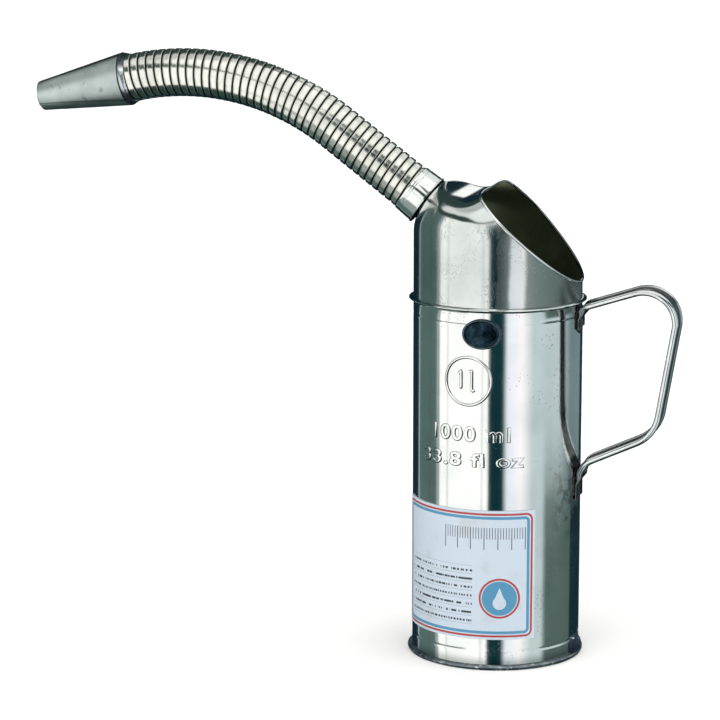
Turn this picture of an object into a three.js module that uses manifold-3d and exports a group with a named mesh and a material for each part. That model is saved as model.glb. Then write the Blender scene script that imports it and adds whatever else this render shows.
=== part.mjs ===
// Metal measuring jug of one litre: a tinplate can with folded seams, a drawn hood with a slanted mouth,
// a strip handle with rolled edges, and a strip-wound spout hose that bends and ends in a conical nozzle.
// Millimetres. +X is the handle side, -X the spout side, -Y the labelled front, +Z is up.
// The origin is the centre of the flat underside of the base.

import * as THREE from 'three';
import { mergeVertices } from 'three/addons/utils/BufferGeometryUtils.js';
import Module from 'manifold-3d';

const wasm = await Module();
wasm.setup();

// Sheet metal and clearances
const SHEET = 0.6;
const GAP = 0.3;
const CAN_SIDES = 48;
const SPOUT_SIDES = 24;

// Can: a folded seam is a flange held inside a rolled-over edge
// Angles round the can are in degrees from the front, -Y, towards the handle, +X.
const BODY_RADIUS = 43.5;
const BODY_TOP = 185.7;
const SEAM_RADIUS = 45.8;
const SEAM_HEIGHT = 2.4;
const SEAM_LIP_RADIUS = 44.1;
const HANDLE_ANGLE = 90;
const LOCK_SEAM_ANGLE = 99;
const LOCK_SEAM_WIDTH = 6;
const LOCK_SEAM_DEPTH = 0.8;

// Hood: wall, dished top, sloping seat for the spout, mouth cut on a slant
const HOOD_BASE = BODY_TOP + GAP;
const SHOULDER_LEAST_RADIUS = 8;
const SHOULDER_GAIN = 28;
const SHOULDER_GROWTH = 1.7;
const SHOULDER_LEAN = 0.15;
const CROWN_HALF_WIDTH = 16;
const CROWN_FALL = 0.0065;
const VALLEY_X = -13.6;
const VALLEY_Z = 240.5;
const VALLEY_RISE = 5.6;
const VALLEY_REACH = 14;
const SEAT_CENTRE = new THREE.Vector3(-37.4, 0, 235);
const SPOUT_RISE = 37;
const SEAT_EDGE_RADIUS = 2;
const SEAT_EDGE_GROWTH = 0.25;
const SEAT_HOLE_RADIUS = 10.8;
const SEAT_HOLE_DEPTH = 15;
const MOUTH_AXIS_Z = 239.6;
const MOUTH_SLOPE = 44.7;
const HEM_HEIGHT = 1.4;
const HEM_BULGE = 0.4;
const HOOD_RING_ELEVATIONS = [22, 38, 42, 46, 50, 54, 58, 63, 70, 79];
const HALVINGS = 40;

// Spout hose: straight out of the ferrule, one bend, straight into the nozzle
const STRAIGHT_RUN = 60;
const BEND_RADIUS = 134;
const BEND_TURN = 49;
const END_RUN = 8;
const NOZZLE_RUN = 60;
const FERRULE_LENGTH = 11;
const SECTION_COUNT = 9;
const SECTION_PITCH = 18.7;
const SECTION_GAP = 3.4;
const RIBS_PER_SECTION = 4;
const RIB_WIDTH = 3.2;
const RIB_GROOVE = 0.8;
const RIB_EDGE = 0.4;
const HOSE_SIDES = 12;
const HOSE_RADIUS = 12.55;
const HOSE_RIM_RADIUS = 11.6;
const GROOVE_RADIUS = 11.4;
const BORE_RADIUS = 10.8;
const SPIGOT_RADIUS = 9.7;
const SPIGOT_BORE = 8.9;
const SPIGOT_REACH = 3.5;
const SPIGOT_ROOT = 2.5;

// Ferrule and nozzle, turned about the hose's line
const FERRULE_RADIUS = 13.5;
const FERRULE_FOOT_RADIUS = 14;
const FERRULE_FOOT = 1.4;
const COLLAR_LENGTH = 3.4;
const COLLAR_RADIUS = 14.1;
const NOZZLE_LENGTH = 48;
const NOZZLE_RADIUS = 14;
const NOZZLE_TIP_RADIUS = 7.75;
const NOZZLE_WALL = 0.6;

// Handle: a strip with a rolled bead along both edges
const HANDLE_WIDTH = 18;
const HANDLE_WEB = 1.2;
const HANDLE_BEAD_RADIUS = 1.7;
const HANDLE_STEP_TURN = 15;
const HANDLE_BEAD_STEPS = 6;
const HANDLE_FOOT_X = 44.95;
const HANDLE_START_Z = 172.5;
const UPPER_FOOT = 8;
const UPPER_FOOT_BEND = 4;
const UPPER_BAR_RISE = 18;
const UPPER_BAR = 25.8;
const TOP_BEND = 16;
const GRIP_HEADING = -99.5;
const GRIP = 46;
const BOTTOM_BEND = 19;
const LOWER_BAR_HEADING = -155.5;
const LOWER_FOOT_BEND = 10.8;
const LOWER_FOOT = 11;

// Solder, seal and label
const SOLDER_THICKNESS = 0.35;
const SOLDER_WIDTH = 11;
const SOLDER_TONGUE = 6;
const SOLDER_TONGUE_STEPS = 10;
const LUMP_ANGLE = 85;
const LUMP_Z = 7.5;
const LUMP_SIZE = new THREE.Vector3(2.2, 6.5, 4.6);
const LUMP_MERIDIANS = 16;
const LUMP_PARALLELS = 10;
const SEAL_ANGLE = 1.5;
const SEAL_Z = 174.4;
const SEAL_WIDTH = 20.3;
const SEAL_HEIGHT = 15.5;
const SEAL_THICKNESS = 1.2;
const SEAL_STEPS = 24;
const LABEL_FROM = -70;
const LABEL_TO = 39;
const LABEL_Z = 16;
const LABEL_HEIGHT = 67.5;
const LABEL_THICKNESS = 0.25;
const LABEL_STEPS = 9;

// Finishes
const TINPLATE = { color: 0xc9ccc8, roughness: 0.16, metalness: 1 };
const HOOD_TIN = { color: 0xa9b0ab, roughness: 0.32, metalness: 1 };
const HOSE_STEEL = { color: 0xcdcfc9, roughness: 0.2, metalness: 1 };
const DULL_ZINC = { color: 0x8f9996, roughness: 0.45, metalness: 1 };
const SOLDER = { color: 0x7d8487, roughness: 0.4, metalness: 1 };
const SEAL_LEAD = { color: 0x1d2b38, roughness: 0.45, metalness: 0.6 };
const PAPER = { color: 0xd9dde8, roughness: 0.55, metalness: 0 };

const radians = THREE.MathUtils.degToRad;

function aroundCan(angle, radius, z) {
  const a = radians(angle);
  return new THREE.Vector3(radius * Math.sin(a), -radius * Math.cos(a), z);
}

// Shared vertices merged, faces turned outwards.
function closedSolid(geometry) {
  geometry.deleteAttribute('normal');
  geometry.deleteAttribute('uv');
  const solid = mergeVertices(geometry, 1e-4);
  const place = solid.getAttribute('position');
  const index = solid.getIndex();
  const [a, b, c] = [new THREE.Vector3(), new THREE.Vector3(), new THREE.Vector3()];
  let volume = 0;
  const kept = [];
  for (let i = 0; i < index.count; i += 3) {
    const [ia, ib, ic] = [index.getX(i), index.getX(i + 1), index.getX(i + 2)];
    if (ia === ib || ib === ic || ic === ia) continue;
    kept.push(ia, ib, ic);
    a.fromBufferAttribute(place, ia);
    b.fromBufferAttribute(place, ib);
    c.fromBufferAttribute(place, ic);
    volume += a.dot(b.cross(c));
  }
  if (volume < 0) kept.reverse();
  solid.setIndex(kept);
  return solid;
}

function toManifold(geometry) {
  const vertProperties = new Float32Array(geometry.getAttribute('position').array);
  const triVerts = new Uint32Array(geometry.getIndex().array);
  return new wasm.Manifold(new wasm.Mesh({ numProp: 3, vertProperties, triVerts }));
}

function fromManifold(solid) {
  const { vertProperties, triVerts } = solid.getMesh();
  const geometry = new THREE.BufferGeometry();
  geometry.setAttribute('position', new THREE.BufferAttribute(new Float32Array(vertProperties), 3));
  geometry.setIndex(Array.from(triVerts));
  return geometry;
}

// A profile of [radius, height] pairs turned about +Z.
function turned(profile, sides, closed = true) {
  const points = profile.map(([radius, height]) => new THREE.Vector2(radius, height));
  if (closed) points.push(points[0].clone());
  const geometry = new THREE.LatheGeometry(points, sides);
  geometry.rotateX(Math.PI / 2);
  return closedSolid(geometry);
}

// Faces between neighbouring rings of points; the last ring joins the first when the loop is closed.
function ringFaces(rings, closed) {
  const count = rings[0].length;
  const faces = [];
  const pairs = closed ? rings.length : rings.length - 1;
  for (let r = 0; r < pairs; r += 1) {
    const here = r * count;
    const next = ((r + 1) % rings.length) * count;
    for (let k = 0; k < count; k += 1) {
      const l = (k + 1) % count;
      faces.push(here + k, next + k, next + l, here + k, next + l, here + l);
    }
  }
  return faces;
}

function fromPoints(points, faces) {
  const geometry = new THREE.BufferGeometry();
  geometry.setFromPoints(points);
  geometry.setIndex(faces);
  return closedSolid(geometry);
}

// Straight runs and arcs in the XZ plane. A heading is an angle from +X towards +Z, in degrees.
class PlanarRoute {
  constructor(x, z, heading, runs) {
    this.start = { x, z, heading };
    this.runs = runs;
    this.total = runs.reduce((sum, run) => sum + run.length, 0);
  }

  at(distance) {
    let { x, z, heading } = this.start;
    let left = distance;
    for (const { length, turn = 0 } of this.runs) {
      const step = Math.min(left, length);
      const change = (turn * step) / length;
      const from = radians(heading);
      const to = radians(heading + change);
      if (turn === 0) {
        x += step * Math.cos(from);
        z += step * Math.sin(from);
      } else {
        const radius = length / radians(turn);
        x += radius * (Math.sin(to) - Math.sin(from));
        z -= radius * (Math.cos(to) - Math.cos(from));
      }
      heading += change;
      left -= step;
    }
    return { point: new THREE.Vector3(x, 0, z), heading: radians(heading) };
  }

  // Distances along the route: the ends of every run, and steps of the given turn through each arc.
  stations(stepTurn) {
    const stops = [0];
    let done = 0;
    for (const { length, turn = 0 } of this.runs) {
      const steps = Math.max(1, Math.round(Math.abs(turn) / stepTurn));
      for (let k = 1; k <= steps; k += 1) stops.push(done + (length * k) / steps);
      done += length;
    }
    return stops;
  }
}

const bend = (radius, turn) => ({ length: radius * Math.abs(radians(turn)), turn });
const straight = (length) => ({ length });

// The hose's line starts at the seat and runs on through the nozzle.
const spoutRoute = new PlanarRoute(SEAT_CENTRE.x, SEAT_CENTRE.z, 180 - SPOUT_RISE, [
  straight(STRAIGHT_RUN),
  bend(BEND_RADIUS, BEND_TURN),
  straight(END_RUN + NOZZLE_RUN),
]);

// Base and body
function basePlate() {
  const inside = SEAM_RADIUS - SHEET;
  const lip = SEAM_HEIGHT - SHEET;
  return turned([
    [0, 0], [SEAM_RADIUS, 0], [SEAM_RADIUS, SEAM_HEIGHT], [SEAM_LIP_RADIUS, SEAM_HEIGHT],
    [SEAM_LIP_RADIUS, lip], [inside, lip], [inside, SHEET], [0, SHEET],
  ], CAN_SIDES, false);
}

function bodyShell() {
  const inner = BODY_RADIUS - SHEET;
  const flange = SEAM_RADIUS - SHEET - GAP;
  const foot = SHEET + GAP;
  const fold = BODY_TOP - SHEET;
  const wall = toManifold(turned([
    [inner, foot], [flange, foot], [flange, foot + SHEET], [BODY_RADIUS, foot + SHEET],
    [BODY_RADIUS, fold], [SEAM_RADIUS, fold], [SEAM_RADIUS, fold + SEAM_HEIGHT],
    [SEAM_LIP_RADIUS, fold + SEAM_HEIGHT], [SEAM_LIP_RADIUS, fold + SEAM_HEIGHT - SHEET],
    [SEAM_RADIUS - SHEET, fold + SEAM_HEIGHT - SHEET], [SEAM_RADIUS - SHEET, BODY_TOP], [inner, BODY_TOP],
  ], CAN_SIDES));
  // The sheet's two edges hook together in a lock seam, flat outside and standing in on the inside.
  const seamHeight = BODY_TOP - 2 * SEAM_HEIGHT;
  const seam = new THREE.BoxGeometry(LOCK_SEAM_WIDTH, LOCK_SEAM_DEPTH + SHEET / 2, seamHeight);
  seam.translate(0, LOCK_SEAM_DEPTH / 2 - SHEET / 4 - inner, BODY_TOP / 2);
  seam.rotateZ(radians(LOCK_SEAM_ANGLE));
  return fromManifold(wall.add(toManifold(closedSolid(seam))));
}

// Larger of two distances, with a round edge of the given radius where the two surfaces meet.
function roundedMax(a, b, radius) {
  const corner = Math.hypot(Math.max(radius + a, 0), Math.max(radius + b, 0));
  return Math.min(-radius, Math.max(a, b)) + corner;
}

const seatNormal = new THREE.Vector3(-Math.cos(radians(SPOUT_RISE)), 0, Math.sin(radians(SPOUT_RISE)));

// How far a point lies outside the hood's form. Its top falls away at the front and the back, into a shoulder
// that is rounder nearer the mouth and nearer the spout.
function hoodDistance(point) {
  const wall = Math.hypot(point.x, point.y) - BODY_RADIUS;
  const along = point.x - VALLEY_X;
  const rise = VALLEY_RISE * (along / VALLEY_REACH) ** 2;
  const fall = CROWN_FALL * Math.max(Math.abs(point.y) - CROWN_HALF_WIDTH, 0) ** 2;
  const swell = SHOULDER_GROWTH * rise + SHOULDER_LEAN * Math.max(-along, 0);
  const shoulder = SHOULDER_LEAST_RADIUS + SHOULDER_GAIN * Math.tanh(swell / SHOULDER_GAIN);
  const seat = point.clone().sub(SEAT_CENTRE).dot(seatNormal);
  const dome = roundedMax(wall, point.z - VALLEY_Z - rise + fall, shoulder);
  return roundedMax(dome, seat, SEAT_EDGE_RADIUS + SEAT_EDGE_GROWTH * Math.abs(point.y));
}

// The hood's filled form, grown or shrunk by an offset: rays from the middle of its foot find the surface.
function hoodForm(offset, bottom) {
  const centre = new THREE.Vector3(0, 0, HOOD_BASE);
  const surfaceAt = (ray) => {
    let near = 0;
    let far = 2 * BODY_RADIUS;
    for (let k = 0; k < HALVINGS; k += 1) {
      const middle = (near + far) / 2;
      const inside = hoodDistance(centre.clone().addScaledVector(ray, middle)) < offset;
      if (inside) near = middle;
      else far = middle;
    }
    return centre.clone().addScaledVector(ray, near);
  };
  const angles = Array.from({ length: CAN_SIDES }, (_, k) => (360 * k) / CAN_SIDES);
  const rings = [angles.map((angle) => aroundCan(angle, BODY_RADIUS + offset, bottom))];
  for (const elevation of HOOD_RING_ELEVATIONS) {
    const e = radians(elevation);
    rings.push(angles.map((angle) => surfaceAt(aroundCan(angle, Math.cos(e), Math.sin(e)))));
  }
  const points = rings.flat();
  const faces = ringFaces(rings, false);
  const top = points.push(surfaceAt(new THREE.Vector3(0, 0, 1))) - 1;
  const floor = points.push(new THREE.Vector3(0, 0, bottom)) - 1;
  const last = (rings.length - 1) * CAN_SIDES;
  for (let k = 0; k < CAN_SIDES; k += 1) {
    const l = (k + 1) % CAN_SIDES;
    faces.push(last + k, top, last + l, k, l, floor);
  }
  return toManifold(fromPoints(points, faces));
}

// A slab that lies on the mouth's plane, from one height to another square to that plane.
function mouthSlab(from, to) {
  const span = 4 * BODY_RADIUS;
  const slab = new THREE.BoxGeometry(span, span, to - from);
  slab.translate(0, 0, (from + to) / 2);
  slab.rotateY(radians(MOUTH_SLOPE));
  slab.translate(0, 0, MOUTH_AXIS_Z);
  return toManifold(closedSolid(slab));
}

function hood() {
  const below = HOOD_BASE - SEAM_HEIGHT;
  const skin = hoodForm(0, HOOD_BASE).subtract(hoodForm(-SHEET, below));
  const flange = toManifold(turned([
    [BODY_RADIUS - SHEET / 2, HOOD_BASE], [SEAM_RADIUS - SHEET - GAP, HOOD_BASE],
    [SEAM_RADIUS - SHEET - GAP, HOOD_BASE + SHEET], [BODY_RADIUS - SHEET / 2, HOOD_BASE + SHEET],
  ], CAN_SIDES));
  const hemBand = hoodForm(HEM_BULGE, HOOD_BASE).subtract(hoodForm(-SHEET - HEM_BULGE, below));
  const hem = hemBand.intersect(mouthSlab(-HEM_HEIGHT, 0));
  const hole = new THREE.CylinderGeometry(SEAT_HOLE_RADIUS, SEAT_HOLE_RADIUS, SEAT_HOLE_DEPTH, SPOUT_SIDES);
  hole.rotateZ(radians(90 - SPOUT_RISE));
  hole.translate(SEAT_CENTRE.x, SEAT_CENTRE.y, SEAT_CENTRE.z);
  const open = skin.subtract(mouthSlab(0, 2 * BODY_RADIUS));
  return fromManifold(open.add(hem).add(flange).subtract(toManifold(closedSolid(hole))));
}

// Hose sections: a ribbed skin, a bore, and a narrow spigot that reaches into the next section's bore
function hoseRing(distance, radius) {
  const { point, heading } = spoutRoute.at(distance);
  const across = new THREE.Vector3(-Math.sin(heading), 0, Math.cos(heading));
  const side = new THREE.Vector3(0, 1, 0);
  return Array.from({ length: HOSE_SIDES }, (_, k) => {
    const turn = (2 * Math.PI * (k + 0.5)) / HOSE_SIDES;
    return point.clone()
      .addScaledVector(across, radius * Math.cos(turn))
      .addScaledVector(side, radius * Math.sin(turn));
  });
}

function hoseSection(number) {
  const isFirst = number === 1;
  const isLast = number === SECTION_COUNT;
  const hingeBefore = FERRULE_LENGTH + SECTION_PITCH * (number - 1);
  const ribsFrom = hingeBefore + SECTION_GAP / 2;
  const from = isFirst ? GAP : ribsFrom;
  const hingeAfter = hingeBefore + SECTION_PITCH;
  const to = hingeAfter - SECTION_GAP / 2;
  const profile = [[from, BORE_RADIUS], [from, HOSE_RIM_RADIUS]];
  if (isFirst) {
    profile.push([from + RIB_EDGE, HOSE_RADIUS], [ribsFrom - RIB_GROOVE, HOSE_RADIUS]);
    profile.push([ribsFrom, GROOVE_RADIUS]);
  }
  for (let rib = 0; rib < RIBS_PER_SECTION; rib += 1) {
    const start = ribsFrom + rib * (RIB_WIDTH + RIB_GROOVE);
    if (rib > 0) profile.push([start - RIB_GROOVE / 2, GROOVE_RADIUS]);
    profile.push([start + RIB_EDGE, HOSE_RADIUS], [start + RIB_WIDTH, HOSE_RADIUS]);
  }
  if (isLast) {
    const end = hingeAfter + COLLAR_LENGTH / 2;
    profile.push([to + RIB_GROOVE, GROOVE_RADIUS], [to + RIB_GROOVE + RIB_EDGE, HOSE_RADIUS]);
    profile.push([end, HOSE_RADIUS], [end, BORE_RADIUS]);
  } else {
    const tip = hingeAfter + SPIGOT_REACH;
    profile.push([to + RIB_EDGE / 2, HOSE_RIM_RADIUS], [to + RIB_EDGE / 2, SPIGOT_RADIUS]);
    profile.push([tip, SPIGOT_RADIUS], [tip, SPIGOT_BORE]);
    profile.push([to - SPIGOT_ROOT, SPIGOT_BORE], [to - SPIGOT_ROOT, BORE_RADIUS]);
  }
  const rings = profile.map(([distance, radius]) => hoseRing(distance, radius));
  return fromPoints(rings.flat(), ringFaces(rings, true));
}

// Stands a shape turned about +Z on the hose's line, its foot at the given distance from the seat.
function onSpout(geometry, distance) {
  const { point, heading } = spoutRoute.at(distance);
  geometry.rotateY(Math.PI / 2 - heading);
  geometry.translate(point.x, point.y, point.z);
  return geometry;
}

function hoseFerrule() {
  const inner = HOSE_RADIUS + GAP;
  return onSpout(turned([
    [inner, GAP], [FERRULE_FOOT_RADIUS, GAP], [FERRULE_FOOT_RADIUS, FERRULE_FOOT],
    [FERRULE_RADIUS, FERRULE_FOOT + GAP], [FERRULE_RADIUS, FERRULE_LENGTH - SHEET],
    [inner + GAP, FERRULE_LENGTH], [inner, FERRULE_LENGTH],
  ], SPOUT_SIDES), 0);
}

const collarFrom = FERRULE_LENGTH + SECTION_PITCH * SECTION_COUNT - COLLAR_LENGTH / 2;

function nozzleCollar() {
  const inner = HOSE_RADIUS + GAP;
  return onSpout(turned([
    [inner, 0], [inner + GAP, 0], [COLLAR_RADIUS, COLLAR_LENGTH - FERRULE_FOOT],
    [COLLAR_RADIUS, COLLAR_LENGTH], [inner, COLLAR_LENGTH],
  ], SPOUT_SIDES), collarFrom);
}

function nozzleCone() {
  return onSpout(turned([
    [NOZZLE_RADIUS - NOZZLE_WALL, 0], [NOZZLE_RADIUS, 0], [NOZZLE_TIP_RADIUS, NOZZLE_LENGTH],
    [NOZZLE_TIP_RADIUS - NOZZLE_WALL, NOZZLE_LENGTH],
  ], SPOUT_SIDES), collarFrom + COLLAR_LENGTH + GAP);
}

// Handle
function handleRoute() {
  const topTurn = GRIP_HEADING - UPPER_BAR_RISE;
  const bottomTurn = LOWER_BAR_HEADING - GRIP_HEADING;
  const footTurn = -90 - LOWER_BAR_HEADING;
  const upper = [
    straight(UPPER_FOOT),
    bend(UPPER_FOOT_BEND, UPPER_BAR_RISE - 90),
    straight(UPPER_BAR),
    bend(TOP_BEND, topTurn),
    straight(GRIP),
    bend(BOTTOM_BEND, bottomTurn),
  ];
  const soFar = new PlanarRoute(HANDLE_FOOT_X, HANDLE_START_Z, 90, upper);
  // The lower bar is as long as brings the lower foot back onto the wall.
  const slope = radians(LOWER_BAR_HEADING);
  const footStart = HANDLE_FOOT_X + LOWER_FOOT_BEND * (1 + Math.sin(slope));
  const lowerBar = (soFar.at(soFar.total).point.x - footStart) / -Math.cos(slope);
  const lower = [straight(lowerBar), bend(LOWER_FOOT_BEND, footTurn), straight(LOWER_FOOT)];
  return new PlanarRoute(HANDLE_FOOT_X, HANDLE_START_Z, 90, [...upper, ...lower]);
}

const handleLine = handleRoute();

function handleStrip() {
  const radius = HANDLE_BEAD_RADIUS;
  const bead = HANDLE_WIDTH / 2 - radius;
  const meet = Math.asin(HANDLE_WEB / 2 / radius);
  const right = new THREE.EllipseCurve(bead, 0, radius, radius, meet - Math.PI, Math.PI - meet);
  const left = new THREE.EllipseCurve(-bead, 0, radius, radius, meet, 2 * Math.PI - meet);
  const section = [...right.getPoints(HANDLE_BEAD_STEPS), ...left.getPoints(HANDLE_BEAD_STEPS)];
  const rings = handleLine.stations(HANDLE_STEP_TURN).map((distance) => {
    const { point, heading } = handleLine.at(distance);
    const across = new THREE.Vector3(-Math.sin(heading), 0, Math.cos(heading));
    return section.map(({ x, y }) => point.clone().addScaledVector(across, y).setY(x));
  });
  const faces = ringFaces(rings, false);
  const last = section.length * (rings.length - 1);
  for (const [a, b, c] of THREE.ShapeUtils.triangulateShape(section, [])) {
    faces.push(a, b, c, last + a, last + c, last + b);
  }
  return fromPoints(rings.flat(), faces);
}

// A patch on the can's wall: an outline drawn across (y) and up (z), cut from a ring round the wall
function wallPatch(outline, angle, thickness) {
  const bottom = Math.min(...outline.map((point) => point.y)) - 1;
  const top = Math.max(...outline.map((point) => point.y)) + 1;
  const inner = BODY_RADIUS + GAP;
  const ring = toManifold(turned([
    [inner, bottom], [inner + thickness, bottom], [inner + thickness, top], [inner, top],
  ], 2 * CAN_SIDES));
  const cut = { depth: BODY_RADIUS, bevelEnabled: false };
  const prism = new THREE.ExtrudeGeometry(new THREE.Shape(outline), cut);
  prism.rotateX(Math.PI / 2);
  prism.translate(0, -BODY_RADIUS / 2, 0);
  prism.rotateZ(radians(angle));
  return fromManifold(ring.intersect(toManifold(closedSolid(prism))));
}

// Solder runs under a handle foot and out past its end in a round tongue.
function footSolder(footEnd, underFoot) {
  const half = SOLDER_WIDTH / 2;
  const tongue = Math.sign(footEnd - underFoot) * SOLDER_TONGUE;
  const outline = [new THREE.Vector2(-half, underFoot), new THREE.Vector2(half, underFoot)];
  const end = new THREE.EllipseCurve(0, footEnd, half, tongue, 0, Math.PI, false);
  outline.push(...end.getPoints(SOLDER_TONGUE_STEPS));
  return wallPatch(outline, HANDLE_ANGLE, SOLDER_THICKNESS);
}

function calibrationSeal() {
  const oval = new THREE.EllipseCurve(0, SEAL_Z, SEAL_WIDTH / 2, SEAL_HEIGHT / 2);
  return wallPatch(oval.getPoints(SEAL_STEPS).slice(0, -1), SEAL_ANGLE, SEAL_THICKNESS);
}

function paperLabel() {
  const inner = BODY_RADIUS + GAP;
  const from = radians(LABEL_FROM - 90);
  const to = radians(LABEL_TO - 90);
  const outline = new THREE.Shape();
  outline.absarc(0, 0, inner + LABEL_THICKNESS, from, to, false);
  outline.absarc(0, 0, inner, to, from, true);
  const sheet = new THREE.ExtrudeGeometry(outline, {
    depth: LABEL_HEIGHT, curveSegments: LABEL_STEPS, bevelEnabled: false,
  });
  sheet.translate(0, 0, LABEL_Z);
  return closedSolid(sheet);
}

// A lump of solder on the wall where the lock seam runs down to the base.
function seamSolder() {
  const lump = new THREE.SphereGeometry(1, LUMP_MERIDIANS, LUMP_PARALLELS);
  lump.scale(LUMP_SIZE.x, LUMP_SIZE.y, LUMP_SIZE.z);
  lump.translate(BODY_RADIUS, 0, LUMP_Z);
  lump.rotateZ(radians(LUMP_ANGLE - 90));
  const core = toManifold(turned([
    [0, 0], [BODY_RADIUS + GAP, 0], [BODY_RADIUS + GAP, BODY_TOP], [0, BODY_TOP],
  ], CAN_SIDES, false));
  return fromManifold(toManifold(closedSolid(lump)).subtract(core));
}

// Assembly
const jug = new THREE.Group();
jug.name = 'measuring_jug';

function place(parent, name, geometry, finish) {
  const mesh = new THREE.Mesh(geometry, new THREE.MeshStandardMaterial(finish));
  mesh.name = name;
  parent.add(mesh);
}

const can = new THREE.Group();
place(can, 'base_plate', basePlate(), TINPLATE);
place(can, 'body_shell', bodyShell(), TINPLATE);
place(can, 'hood', hood(), HOOD_TIN);
place(can, 'handle_strip', handleStrip(), TINPLATE);
const lowerFootEnd = handleLine.at(handleLine.total).point.z;
place(can, 'upper_handle_solder', footSolder(HANDLE_START_Z, HANDLE_START_Z + UPPER_FOOT), SOLDER);
place(can, 'lower_handle_solder', footSolder(lowerFootEnd, lowerFootEnd + LOWER_FOOT), SOLDER);
place(can, 'seam_end_solder', seamSolder(), SOLDER);
place(can, 'calibration_seal', calibrationSeal(), SEAL_LEAD);
place(can, 'paper_label', paperLabel(), PAPER);
jug.add(can);

const spout = new THREE.Group();
place(spout, 'hose_ferrule', hoseFerrule(), TINPLATE);
for (let number = 1; number <= SECTION_COUNT; number += 1) {
  place(spout, `hose_section_${number}`, hoseSection(number), HOSE_STEEL);
}
place(spout, 'nozzle_collar', nozzleCollar(), DULL_ZINC);
place(spout, 'nozzle_cone', nozzleCone(), DULL_ZINC);
jug.add(spout);

export default jug;
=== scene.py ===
"""Tinplate measuring jug of one litre with a strip-wound pouring spout: its looks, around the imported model.

Metres. +X is the handle side, -X the spout side, -Y the labelled front, +Z is up, and the origin is the
centre of the base's underside. Angles round the can are in degrees from the front towards the handle.
"""

import math
from contextlib import contextmanager
from itertools import pairwise

import bmesh
import bpy
import numpy as np
from mathutils import Matrix, Vector


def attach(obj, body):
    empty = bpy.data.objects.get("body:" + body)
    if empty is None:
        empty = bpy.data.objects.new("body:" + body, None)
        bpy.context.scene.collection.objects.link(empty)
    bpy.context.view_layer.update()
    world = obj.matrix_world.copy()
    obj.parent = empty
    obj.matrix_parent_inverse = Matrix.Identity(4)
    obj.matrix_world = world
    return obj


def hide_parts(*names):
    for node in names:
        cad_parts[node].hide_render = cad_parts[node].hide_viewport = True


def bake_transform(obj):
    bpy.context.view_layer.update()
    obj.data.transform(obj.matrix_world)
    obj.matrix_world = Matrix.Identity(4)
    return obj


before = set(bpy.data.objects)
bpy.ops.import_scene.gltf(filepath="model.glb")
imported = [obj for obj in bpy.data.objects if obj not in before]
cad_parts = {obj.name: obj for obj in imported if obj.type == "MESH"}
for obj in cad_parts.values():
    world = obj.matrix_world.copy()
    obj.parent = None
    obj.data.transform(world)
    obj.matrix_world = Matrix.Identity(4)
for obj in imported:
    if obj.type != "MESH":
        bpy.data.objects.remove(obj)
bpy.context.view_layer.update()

MM = 0.001

# Can
CAN_RADIUS = 43.5 * MM
CAN_SIDES = 192
SMALL_SIDES = 96
SHEET = 0.5 * MM
SEAM_RADIUS = 45.8 * MM
SEAM_HEIGHT = 2.4 * MM
SEAM_LIP_RADIUS = 43.6 * MM
SEAM_RIM_RISE = 1.5 * MM
BASE_FOOT_RADIUS = 45 * MM
BODY_FOOT = 1.2 * MM
TOP_SEAM_Z = 185.1 * MM
GROOVE_DEPTH = 0.14 * MM
GROOVE_HALF_WIDTH = 0.8 * MM
GROOVE_HEIGHTS = (9.6 * MM, 178.7 * MM)
WALL_RING_STEP = 6 * MM
WALL_WAVE = 0.06 * MM
WALL_WAVE_SIZE = 22 * MM
LOCK_SEAM_ANGLE = 99
LOCK_SEAM_WIDTH = 6 * MM
LOCK_SEAM_STEP = 0.3 * MM

# Hood
HOOD_BASE = 186 * MM
HOOD_SIDES = 192
HOOD_RINGS = 180
SHOULDER_LEAST_RADIUS = 8 * MM
SHOULDER_GAIN = 28 * MM
SHOULDER_GROWTH = 1.7
SHOULDER_LEAN = 0.15
CROWN_HALF_WIDTH = 16 * MM
CROWN_FALL = 0.0065 / MM
VALLEY_X = -13.6 * MM
VALLEY_Z = 240.5 * MM
VALLEY_RISE = 5.6 * MM
VALLEY_REACH = 14 * MM
SEAT_CENTRE = Vector((-37.4 * MM, 0, 235 * MM))
SPOUT_RISE = 37
SEAT_EDGE_RADIUS = 2 * MM
SEAT_EDGE_GROWTH = 0.25
SEAT_HOLE_RADIUS = 10.8 * MM
SEAT_HOLE_DEPTH = 15 * MM
SEAT_HOLE_SIDES = 64
MOUTH_CENTRE = Vector((0, 0, 239.6 * MM))
MOUTH_SLOPE = math.radians(44.7)
MOUTH_NORMAL = Vector((math.sin(MOUTH_SLOPE), 0, math.cos(MOUTH_SLOPE)))
HEM_RADIUS = 0.7 * MM
HEM_POINT_GAP = 0.3 * MM
HALVINGS = 40

# Spout
STRAIGHT_RUN = 60 * MM
BEND_RADIUS = 134 * MM
BEND_TURN = 49
FERRULE_LENGTH = 11 * MM
FERRULE_RADIUS = 13.5 * MM
FERRULE_TOP_RADIUS = 13.1 * MM
FERRULE_FOOT_RADIUS = 14 * MM
FERRULE_LINES = (8.3 * MM, 9.5 * MM)
FERRULE_CLEARANCE = 0.3 * MM
FERRULE_LIFT = 0.3 * MM
FERRULE_RING_TOP = 1.1 * MM
FINE_EDGE = 0.12 * MM
HINGE_PITCH = 18.7 * MM
HINGE_COUNT = 8
HOSE_RADIUS = 12.55 * MM
HOSE_TURN = 4.27 * MM
HOSE_TURNS = 43
HOSE_STEPS = 48
HOSE_FROM = 5 * MM
HOSE_TO = 180.6 * MM
HOSE_WALL = 0.25 * MM
COLLAR_FROM = 177.6 * MM
NOZZLE_FROM = 181.3 * MM
NOZZLE_LENGTH = 48 * MM
NOZZLE_RADIUS = 14 * MM
NOZZLE_TIP_RADIUS = 7.75 * MM
NOZZLE_WALL = 0.6 * MM
NOZZLE_STATIONS = 13
NOZZLE_LAP_FROM = -127
NOZZLE_LAP_TO = -84
NOZZLE_LAP_STEP = 0.25 * MM
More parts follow.
